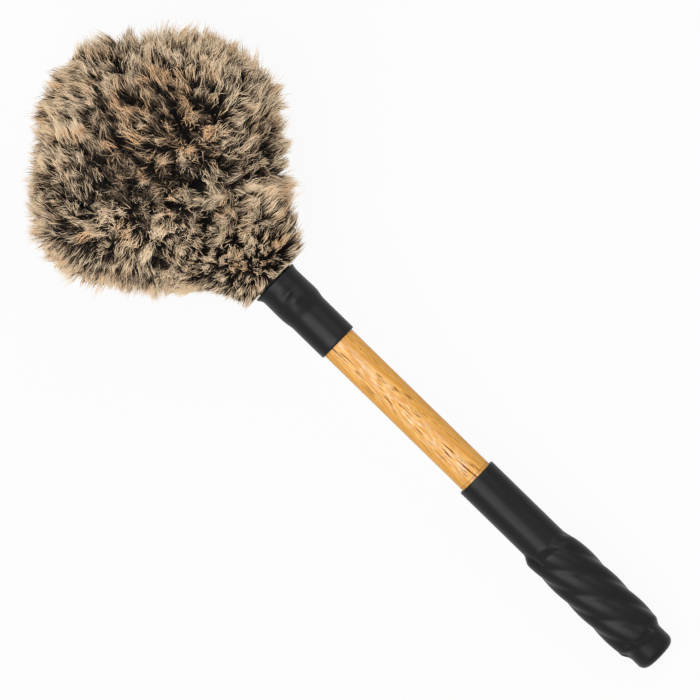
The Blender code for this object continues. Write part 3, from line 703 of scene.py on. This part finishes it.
class MALLET_OT_stuffing(bpy.types.Operator):
    """Finish what is under the fur and under the grip"""

    bl_idname = "mallet.stuffing"
    bl_label = "Stuffing and padding"

    def execute(self, context):
        paint("core_felt", felted_finish("wool felt", (0.46, 0.44, 0.41), 420.0))
        paint("wadding_ball", felted_finish("wadding", (0.82, 0.8, 0.75), 160.0))
        paint("inner_cover", knit_finish("knitted cloth", (0.7, 0.65, 0.55), 1.1 * MM))
        foam = felted_finish("foam rubber", (0.045, 0.045, 0.045), 1500.0)
        for node in frame["nodes"]:
            if node.startswith("grip_strip_"):
                paint(node, foam)
        return {"FINISHED"}


class MALLET_OT_fixings(bpy.types.Operator):
    """Finish the screw, the washer and the twine"""

    bl_idname = "mallet.fixings"
    bl_label = "Screw and twine"

    def execute(self, context):
        steel = steel_finish()
        paint("core_screw", steel)
        paint("core_washer", steel)
        twine = twine_finish()
        paint("neck_whipping", twine)
        paint("whipping_knot", twine)
        return {"FINISHED"}


def fur_outline():
    """The fur's outline, a wall's thickness outside the cloth cover, as (height, radius) points."""
    points = shaft_points("inner_cover")
    flat = np.stack([points[:, 2], np.hypot(points[:, 0], points[:, 1])], axis=1)
    hull = []
    for point in sorted(map(tuple, flat[flat[:, 0] > NECK])):
        while len(hull) > 1:
            (h0, r0), (h1, r1) = hull[-2:]
            if (h1 - h0) * (point[1] - r0) - (r1 - r0) * (point[0] - h0) < 0:
                break
            hull.pop()
        hull.append(point)
    cloth = np.array(hull)
    way = unit(np.gradient(cloth, axis=0))
    outline = cloth + COVER_WALL * np.stack([-way[:, 1], way[:, 0]], axis=1)
    outline[-1] = cloth[-1] + (COVER_WALL, 0.0)
    (h0, r0), (h1, r1) = outline[:2]
    foot = r0 - (r1 - r0) / (h1 - h0) * (h0 - NECK - 1.5 * MM)
    return np.concatenate([[(NECK + 1.5 * MM, foot)], outline])


def skin_outline(fur, count):
    """The skin's outline: evenly spaced points under the fur's outline, shallow at the collar."""
    outline = fur_outline()
    steps = np.hypot(*np.diff(outline, axis=0).T)
    run = np.concatenate([[0.0], np.cumsum(steps)])
    places = np.linspace(0.0, run[-1], count)
    heights_in = np.interp(places, run, outline[:, 0])
    radii = np.interp(places, run, outline[:, 1])
    slopes = unit(np.stack([np.gradient(heights_in), np.gradient(radii)], axis=1))
    depth = fur.neck_depth + (fur.skin_depth - fur.neck_depth) * smooth(places / (55 * MM))
    skin = np.stack([heights_in + depth * slopes[:, 1], radii - depth * slopes[:, 0]], axis=1)
    skin[:, 1] = np.maximum(skin[:, 1], 0.0)
    skin[-1, 1] = 0.0
    return skin


def stuff_skin(obj, fur):
    """Swell the closed skin under pressure, held along its seams and at the neck, and cap the swelling."""
    start = vectors(obj.data)
    angle = np.arctan2(start[:, 1], start[:, 0])
    seam = np.abs(np.remainder(angle / TURN * fur.panels, 1.0) - 0.5) > 0.43
    neck = start[:, 2] < NECK + 14 * MM
    held = obj.vertex_groups.new(name="held")
    held.add([int(i) for i in np.flatnonzero(seam | neck)], 1.0, "REPLACE")
    select(obj)
    cloth = obj.modifiers.new("stuffing", "CLOTH")
    cloth.settings.vertex_group_mass = "held"
    cloth.settings.pin_stiffness = 1.0
    cloth.settings.use_pressure = True
    cloth.settings.uniform_pressure_force = 4.0
    cloth.settings.effector_weights.gravity = 0.0
    scene = bpy.context.scene
    for step in range(STUFFING_FRAMES):
        scene.frame_set(step + 1)
    swollen = obj.evaluated_get(bpy.context.evaluated_depsgraph_get())
    moved = vectors(swollen.data) - start
    reach = np.linalg.norm(moved, axis=1)[:, None]
    moved *= np.minimum(1.0, fur.puff / np.maximum(reach, 1e-9))
    obj.modifiers.remove(cloth)
    scene.frame_set(1)
    reshape(obj, start + moved)


def lump_skin(obj):
    """Slight lumps of the stuffing all over."""
    points = vectors(obj.data)
    rise = 0.6 * MM * waves(points, 55 * MM, np.random.default_rng(12))[:, 0]
    rise *= np.clip((points[:, 2] - NECK) / (15 * MM), 0.0, 1.0)
    reshape(obj, points + vectors(obj.data, "normal") * rise[:, None])


def hem_outline():
    """The skin's hem under the collar, in mm: up the inside, and down the outside round the twine."""
    foot = heights("fur_cover")[0] / MM
    neck = NECK / MM
    low, high = (height / MM for height in heights("neck_whipping"))
    inside, outside, under_twine, play = 9.75, 11.85, 10.75, 0.3
    outline = [(foot, inside), (neck + 0.4, inside), (neck + 3.4, 12.2), (neck + 3.6, 13.2)]
    outline += [(neck + 0.4, outside), (high + play, outside), (high + play, under_twine)]
    return outline + [(low - play, under_twine), (low - play, outside), (foot, outside)]


class MALLET_OT_skin(bpy.types.Operator):
    """Sew and stuff the skin that the fur grows from"""

    bl_idname = "mallet.skin"
    bl_label = "Stuffed skin"

    def execute(self, context):
        fur = context.scene.mallet_fur
        skin = spin("fur_backing", skin_outline(fur, 40), False, 72, 0.01 * MM)
        bpy.ops.object.mode_set(mode="EDIT")
        bpy.ops.mesh.select_all(action="DESELECT")
        bpy.ops.mesh.select_non_manifold()
        bpy.ops.mesh.edge_face_add()
        bpy.ops.object.mode_set(mode="OBJECT")
        skin.data.remesh_voxel_size = 4.5 * MM
        bpy.ops.object.voxel_remesh()
        stuff_skin(skin, fur)
        bpy.ops.object.mode_set(mode="EDIT")
        bpy.ops.mesh.select_all(action="SELECT")
        bpy.ops.mesh.bisect(plane_co=(0, 0, NECK + 2.5 * MM), plane_no=(0, 0, 1), clear_inner=True)
        bpy.ops.mesh.select_all(action="SELECT")
        bpy.ops.mesh.vertices_smooth(factor=0.5, repeat=2)
        bpy.ops.object.mode_set(mode="OBJECT")
        lump_skin(skin)
        wall = skin.modifiers.new("wall", "SOLIDIFY")
        wall.thickness = 0.9 * MM
        wall.offset = -1.0
        bpy.ops.object.modifier_apply(modifier="wall")
        bpy.ops.object.shade_smooth()
        skin.data.transform(LINE)
        backing = knit_finish("fur backing", (0.03, 0.024, 0.02), 1.4 * MM)
        settle(skin, backing, "fur", "fur_cover")
        settle(tube("fur_hem", hem_outline(), lambda points: 0.0, 64), backing, "fur", "fur_cover")
        return {"FINISHED"}


def waves(points, wavelength, rng, count=14):
    """A smooth vector field: a sum of sine waves in every direction, about 1 strong."""
    directions = rng.normal(size=(3, count))
    directions /= np.linalg.norm(directions, axis=0)
    stretch = TURN / wavelength * rng.uniform(0.6, 1.5, size=count)
    phases = rng.uniform(0.0, TURN, size=count)
    weights = rng.normal(size=(count, 3)) * math.sqrt(2.0 / count)
    return np.sin(points @ (directions * stretch) + phases) @ weights


def scatter(obj, count, rng):
    """Random points on the skin's outside, with their normals, in shaft coordinates."""
    data = obj.data
    data.calc_loop_triangles()
    corners = np.zeros(len(data.loop_triangles) * 3, dtype=np.int32)
    data.loop_triangles.foreach_get("vertices", corners)
    corners = corners.reshape(-1, 3)
    points = carry(vectors(data), LINE.inverted())
    normals = carry(vectors(data, "normal"), LINE.inverted().to_3x3().to_4x4())
    a, b, c = (points[corners[:, i]] for i in range(3))
    face = np.cross(b - a, c - a)
    middle = (a + b + c) / 3
    middle[:, 2] -= HEAD_MIDDLE
    outward = np.einsum("ij,ij->i", face, middle) > 0
    areas = np.where(outward, np.linalg.norm(face, axis=1), 0.0)
    chosen = rng.choice(len(corners), size=count, p=areas / areas.sum())
    u, v = rng.uniform(size=(2, count))
    flip = u + v > 1
    u[flip], v[flip] = 1 - u[flip], 1 - v[flip]
    weights = np.stack([1 - u - v, u, v], axis=1)[:, :, None]
    roots = (points[corners[chosen]] * weights).sum(axis=1)
    return roots, unit((normals[corners[chosen]] * weights).sum(axis=1))


def sweep(roots, up, rng, jitter):
    """The way each strand leans: down under its weight and away from the collar, with broad and small swirls.

    Near the collar strands hang more and swirl less, and the nearest ones turn a little towards it.
    """
    above = roots[:, 2:3] - NECK
    climb = np.clip(above / (CROWN - NECK), 0.0, 1.0)
    far = smooth(above / (45 * MM))
    towards_crown = np.array([0.0, 0.0, 1.0]) - up * up[:, 2:3]
    weight = np.array([0.5, 0.0, 0.0]) * (1.8 - 0.8 * far)
    seed = np.random.default_rng(31)
    swirl = 0.4 * waves(roots, 75 * MM, seed) + 0.3 * waves(roots, 24 * MM, seed)
    swirl = swirl + jitter * rng.normal(size=roots.shape)
    lean = towards_crown * (1.2 * (1 - climb) ** 2 + 0.1) + weight + swirl * (0.35 + 0.65 * far)
    lean = lean - np.array([0.0, 0.0, 0.1]) * (1 - smooth(above / (22 * MM)))
    return lean - up * np.einsum("ij,ij->i", lean, up)[:, None]


def pile_length(roots, fur):
    """Full pile over the head, and shorter where the skin is gathered at the collar."""
    share = np.clip((roots[:, 2] - NECK) / (42 * MM), 0.0, 1.0)
    return fur.length * (0.68 + 0.32 * share)


def comb(roots, up, lean, length):
    """Strand paths: each starts near upright and lies over towards its tip."""
    paths = [roots]
    for low, high in zip(STRAND_STEPS, STRAND_STEPS[1:]):
        share = (low + high) / 2
        way = unit(up + lean * (0.3 + 0.9 * share))
        paths.append(paths[-1] + way * length[:, None] * (high - low))
    return np.stack(paths, axis=1)


def nearest(points, middles):
    """For each point, the number of the nearest middle."""
    tree = KDTree(len(middles))
    for number, middle in enumerate(middles):
        tree.insert(middle, number)
    tree.balance()
    return np.array([tree.find(point)[1] for point in points])


def gather(paths, guides, owner, pull):
    """Draw strands towards their guides, most at the tips."""
    share = pull[:, None] * STRAND_STEPS[None, :] ** 1.2
    return paths + (guides[owner] - paths) * share[:, :, None]


def fur_surface():
    """The CAD cover as a search tree in shaft coordinates. Its locks and valleys shape the fur."""
    faces = [tuple(face.vertices) for face in frame["nodes"]["fur_cover"].data.polygons]
    return BVHTree.FromPolygons([tuple(point) for point in shaft_points("fur_cover")], faces)


def room_over(surface, roots, ways, most=40 * MM):
    """How far each root is from the cover's surface along its way, or most of all where it meets none."""
    found = [surface.ray_cast(root, way, most)[3] for root, way in zip(roots, ways)]
    return np.array([most if distance is None else distance for distance in found])


def uphill(surface, roots, up, step=6 * MM):
    """The way along the skin on which the cover's surface rises, as long as it is steep."""
    side = unit(np.cross(up, OBLIQUE))
    rise = np.zeros_like(roots)
    for axis in (side, np.cross(up, side)):
        ahead = room_over(surface, roots + axis * step, up, 25 * MM)
        behind = room_over(surface, roots - axis * step, up, 25 * MM)
        rise += axis * (np.clip(ahead - behind, -8 * MM, 8 * MM) / (2 * step))[:, None]
    return rise


def trim(surface, paths, over):
    """Stretch or cut strands so that each tip stands this far over the cover's surface."""
    chords = paths[:, -1] - paths[:, 0]
    reach = np.linalg.norm(chords, axis=1)
    room = room_over(surface, paths[:, 0], chords / reach[:, None])
    share = np.clip((room + over) / reach, 0.4, 1.8)
    return paths[:, :1] + (paths - paths[:, :1]) * share[:, None, None]


def curl(paths, amount, rng):
    """Bend strands to and fro on their way, neighbours alike and each a little by itself."""
    bends = waves(paths.reshape(-1, 3), 10 * MM, np.random.default_rng(5)).reshape(paths.shape)
    bends += 0.6 * rng.normal(size=paths.shape)
    return paths + bends * amount[:, None, None] * STRAND_STEPS[None, :, None]


def extra_pile(roots):
    """How much further than usual the pile stands out."""
    extra = np.zeros(len(roots))
    for climb, across, longer, spread in LONGER_PILE:
        away = np.linalg.norm(roots - np.array([0.0, across * MM, NECK + climb * MM]), axis=1)
        extra += longer * MM * np.exp(-((away / (spread * MM)) ** 2))
    near_collar = 1 - smooth((roots[:, 2] - NECK) / (18 * MM))
    return extra + near_collar * (6 - 1.5 * np.sin(np.arctan2(roots[:, 1], roots[:, 0]))) * MM


def soft_floor(levels, floor, margin):
    """Levels that come to lie over a floor, softly from a margin over it."""
    above = levels - floor
    return floor + np.where(above < margin, margin * np.exp(np.clip(above / margin - 1, -8.0, 0.0)), above)


def guides(skin, fur, surface, rng, spacing, lengths, jitter, rise):
    """Roots and paths of the guides that make locks or tufts. They lean towards where the cover rises."""
    count = int(4 * math.pi * SKIN_BALL**2 / spacing**2)
    roots, up = scatter(skin, count, rng)
    length = pile_length(roots, fur) * rng.uniform(*lengths, size=count)
    lean = sweep(roots, up, rng, jitter) + rise * uphill(surface, roots, up)
    return roots, comb(roots, up, lean, length)


def grow(skin, fur):
    """Root to tip paths of all strands in shaft coordinates, and each strand's tone."""
    rng = np.random.default_rng(7)
    surface = fur_surface()
    lock_roots, locks = guides(skin, fur, surface, rng, fur.lock_spacing, (0.82, 1.15), 0.35, 0.9)
    lock_tone = rng.normal(size=len(locks))
    tuft_roots, tufts = guides(skin, fur, surface, rng, fur.tuft_spacing, (0.78, 1.18), 0.3, 0.6)
    lock_of_tuft = nearest(tuft_roots, lock_roots)
    far = smooth((tuft_roots[:, 2] - NECK) / (40 * MM))
    pull = rng.uniform(0.4, 0.82, size=len(tufts)) * (0.5 + 0.5 * far)
    tufts = gather(tufts, locks, lock_of_tuft, pull)
    tuft_tone = rng.normal(size=len(tufts))
    roots, up = scatter(skin, fur.strands, rng)
    length = pile_length(roots, fur) * rng.uniform(0.8, 1.08, size=fur.strands)
    strands = comb(roots, up, sweep(roots, up, rng, 0.3), length)
    owner = nearest(roots, tuft_roots)
    lock = lock_of_tuft[owner]
    loose = rng.uniform(size=fur.strands) < LOOSE_SHARE
    pull = np.where(loose, 0.1, rng.uniform(0.58, 0.88, size=fur.strands))
    far = smooth((roots[:, 2] - NECK) / (40 * MM))
    strands = gather(strands, tufts, owner, pull * (0.82 + 0.18 * far))
    short = rng.uniform(size=fur.strands) < SHORT_SHARE
    over = rng.normal(TIPS_OVER, TIPS_SPREAD, size=fur.strands) + extra_pile(roots) + loose * MM
    over += (1.7 * tuft_tone[owner] + lock_tone[lock]) * MM
    over -= short * rng.uniform(2 * MM, 7 * MM, size=fur.strands)
    strands = trim(surface, strands, over)
    facing = np.clip(-roots[:, 0] / (75 * MM), 0.0, 1.0) ** 2
    strands = curl(strands, (0.3 + (0.3 + 1.2 * facing) * far) * MM, rng)
    # Strands that would hang over the collar stand out over its edge
    strands[..., 2] = soft_floor(strands[..., 2], NECK + 0.6 * MM, 3 * MM)
    # Painted rim light and painted shade: strands are paler round the sides of the head and darker where it
    # faces up towards the camera and lamps
    tone = 0.53 - 0.62 * facing + 0.12 * waves(roots, 50 * MM, rng)[:, 0]
    tone += 0.15 * lock_tone[lock] + 0.2 * tuft_tone[owner]
    from_worn = np.linalg.norm(roots - np.array(WORN_SPOT), axis=1)
    tone += 0.18 * np.exp(-((from_worn / (24 * MM)) ** 2))
    tone += 0.26 * rng.normal(size=fur.strands) - 0.45 * short
    return strands, np.clip(tone, 0.0, 1.0)


def strand_mesh(name, paths, tone, thickness):
    """One mesh of closed three-sided strands that taper to a point."""
    count, steps, _ = paths.shape
    rings = steps - 1
    ways = unit(np.gradient(paths, axis=1))
    side = unit(np.cross(ways, OBLIQUE))
    other = np.cross(ways, side)
    taper = thickness / 2 * (1.0 - 0.3 * STRAND_STEPS[:rings] ** 2)
    vertices = np.zeros((count, rings * 3 + 1, 3))
    for corner in range(3):
        angle = TURN * corner / 3
        around = side * math.cos(angle) + other * math.sin(angle)
        vertices[:, corner:-1:3] = paths[:, :rings] + around[:, :rings] * taper[None, :, None]
    vertices[:, -1] = paths[:, -1]
    quads = []
    for ring in range(rings - 1):
        for corner in range(3):
            after = (corner + 1) % 3
            low, high = ring * 3, ring * 3 + 3
            quads.append((low + corner, low + after, high + after, high + corner))
    last = (rings - 1) * 3
    triangles = [(last + corner, last + (corner + 1) % 3, last + 3) for corner in range(3)] + [(2, 1, 0)]
    per_strand = vertices.shape[1]
    shift = (np.arange(count) * per_strand)[:, None]
    corners = np.concatenate([np.array(quads).ravel(), np.array(triangles).ravel()])
    sizes = np.array([4] * len(quads) + [3] * len(triangles))
    loops = (shift + corners[None, :]).ravel()
    starts = np.concatenate([[0], np.cumsum(np.tile(sizes, count))[:-1]])
    data = bpy.data.meshes.new(name)
    data.vertices.add(count * per_strand)
    data.vertices.foreach_set("co", vertices.ravel())
    data.loops.add(len(loops))
    data.loops.foreach_set("vertex_index", loops.astype(np.int32))
    data.polygons.add(len(starts))
    data.polygons.foreach_set("loop_start", starts.astype(np.int32))
    data.update(calc_edges=True)
    data.shade_smooth()
    spine = np.repeat(paths[:, :rings], 3, axis=1)
    around = (vertices[:, :-1] - spine) / (thickness / 2)
    # Normals lean outwards and up, so that the pile is lit as one surface
    outward = unit(vertices - np.array(LINE @ Vector((0.0, 0.0, HEAD_MIDDLE))))
    outward[..., 2] += 0.7
    outward[:, :-1] += 0.9 * around
    data.normals_split_custom_set_from_vertices(unit(outward).reshape(-1, 3))
    climb = np.concatenate([np.repeat(STRAND_STEPS[:rings], 3), [1.0]])
    chart = np.stack([np.repeat(tone, len(corners)), np.tile(climb[corners], count)], axis=1)
    layer = data.uv_layers.new(name="strand")
    layer.uv.foreach_set("vector", chart.ravel())
    return link(name, data)


class MALLET_OT_fur(bpy.types.Operator):
    """Grow the fur from the skin, one mesh for each slice round the head"""

    bl_idname = "mallet.fur"
    bl_label = "Long fur"

    def execute(self, context):
        fur = context.scene.mallet_fur
        paths, tone = grow(bpy.data.objects["fur_backing"], fur)
        order = np.argsort(np.arctan2(paths[:, 0, 1], paths[:, 0, 0]), kind="stable")
        paths = carry(paths, LINE)
        # Strands that would pass through the table lie flat on it
        paths[..., 2] = soft_floor(paths[..., 2], 0.4 * MM, 4 * MM)
        finish = fur_finish(fur)
        for number, part in enumerate(np.array_split(order, PATCHES), 1):
            patch = strand_mesh(f"fur_patch_{number}", paths[part], tone[part], fur.thickness)
            settle(patch, finish, "fur", "fur_cover")
        return {"FINISHED"}


def area_light(name, place, aim, size, power):
    """A rectangular soft light aimed at a point."""
    lamp = bpy.data.lights.new(name, "AREA")
    lamp.shape = "RECTANGLE"
    lamp.size, lamp.size_y = size
    lamp.energy = power
    obj = link(name, lamp)
    obj.location = place
    obj.rotation_euler = (aim - place).to_track_quat("-Z", "Y").to_euler()


def seen_rays(finish):
    """1 for what the camera sees, straight, in a mirror or through glass."""
    ray = finish.add("ShaderNodeLightPath").outputs
    mirrored = finish.math("MAXIMUM", ray["Is Glossy Ray"], ray["Is Transmission Ray"])
    return finish.math("MAXIMUM", ray["Is Camera Ray"], mirrored)


class MALLET_OT_stage(bpy.types.Operator):
    """Set the table, the lights and the camera"""

    bl_idname = "mallet.stage"
    bl_label = "Stage"

    def execute(self, context):
        stage = context.scene.mallet_stage
        scene = context.scene
        out = ALONG.cross(ACROSS)
        aim = BUTT + ALONG * stage.aim_height + ACROSS * stage.aim_aside
        lens = bpy.data.cameras.new("camera")
        lens.sensor_width = 36.0
        lens.lens = lens.sensor_width * stage.distance / stage.frame_width
        lens.clip_end = 20.0
        camera = link("camera", lens)
        right = -math.cos(stage.line_angle) * ALONG - math.sin(stage.line_angle) * ACROSS
        up = math.sin(stage.line_angle) * ALONG - math.cos(stage.line_angle) * ACROSS
        turned = Matrix((right, up, out)).transposed().to_4x4()
        camera.matrix_world = Matrix.Translation(aim + out * stage.distance) @ turned
        scene.camera = camera

        bpy.ops.mesh.primitive_plane_add(size=6.0, location=(0, 0, 0))
        floor = bpy.context.object
        floor.name = "table"
        pale = Finish("pale table")
        pale.shade(Base_Color=(0.62, 0.62, 0.62, 1.0), Roughness=0.9)
        glow = pale.add("ShaderNodeEmission", {"Color": (1, 1, 1, 1), "Strength": 1.0})
        white = pale.times(seen_rays(pale), 0.93)
        veil = pale.add("ShaderNodeMixShader", {0: white, 1: pale.shader.outputs[0], 2: glow.outputs[0]})
        pale.tree.links.new(veil.outputs[0], pale.tree.nodes["Material Output"].inputs["Surface"])
        floor.data.materials.append(pale.material)

        studio = Finish("studio", bpy.data.worlds, "Background")
        scene.world = studio.material
        level = studio.add("ShaderNodeMapRange", {"Value": seen_rays(studio), "To Min": stage.sky})
        studio.shade(Color=(1.0, 1.0, 1.0, 1.0), Strength=level.outputs[0])

        main_side = out * 1.5 + ACROSS * 0.6 + ALONG * 0.1
        area_light("softbox", aim + main_side, aim, (0.9, 1.5), stage.softbox)
        other_side = out * 1.3 - ACROSS * 1.2 + ALONG * 0.5
        area_light("fill", aim + other_side, aim, (1.2, 1.2), stage.fill)
        scene.view_settings.view_transform = "Standard"
        return {"FINISHED"}


class MALLET_PT_panel(bpy.types.Panel):
    """Lists the mallet's steps"""

    bl_idname = "MALLET_PT_panel"
    bl_label = "Gong Mallet"
    bl_space_type = "VIEW_3D"
    bl_region_type = "UI"
    bl_category = "Gong Mallet"

    def draw(self, context):
        for step in STEPS:
            self.layout.operator(step.bl_idname)
        for name, group in GROUPS.items():
            box = self.layout.box()
            for field in group.__annotations__:
                box.prop(getattr(context.scene, name), field)


STEPS = (
    MALLET_OT_stage,
    MALLET_OT_shaft,
    MALLET_OT_rubber,
    MALLET_OT_stuffing,
    MALLET_OT_fixings,
    MALLET_OT_skin,
    MALLET_OT_fur,
)
GROUPS = {
    "mallet_stage": StageSettings,
    "mallet_fur": FurSettings,
    "mallet_wood": WoodSettings,
    "mallet_rubber": RubberSettings,
}
CLASSES = (*GROUPS.values(), *STEPS, MALLET_PT_panel)


def register():
    for kind in CLASSES:
        bpy.utils.register_class(kind)
    for name, group in GROUPS.items():
        setattr(bpy.types.Scene, name, PointerProperty(type=group))


def unregister():
    for name in GROUPS:
        delattr(bpy.types.Scene, name)
    for kind in reversed(CLASSES):
        bpy.utils.unregister_class(kind)


def main():
    register()
    bpy.ops.mallet.stage()
    bpy.ops.mallet.shaft()
    bpy.ops.mallet.rubber()
    bpy.ops.mallet.stuffing()
    bpy.ops.mallet.fixings()
    bpy.ops.mallet.skin()
    bpy.ops.mallet.fur()


if __name__ == "__main__":
    main()
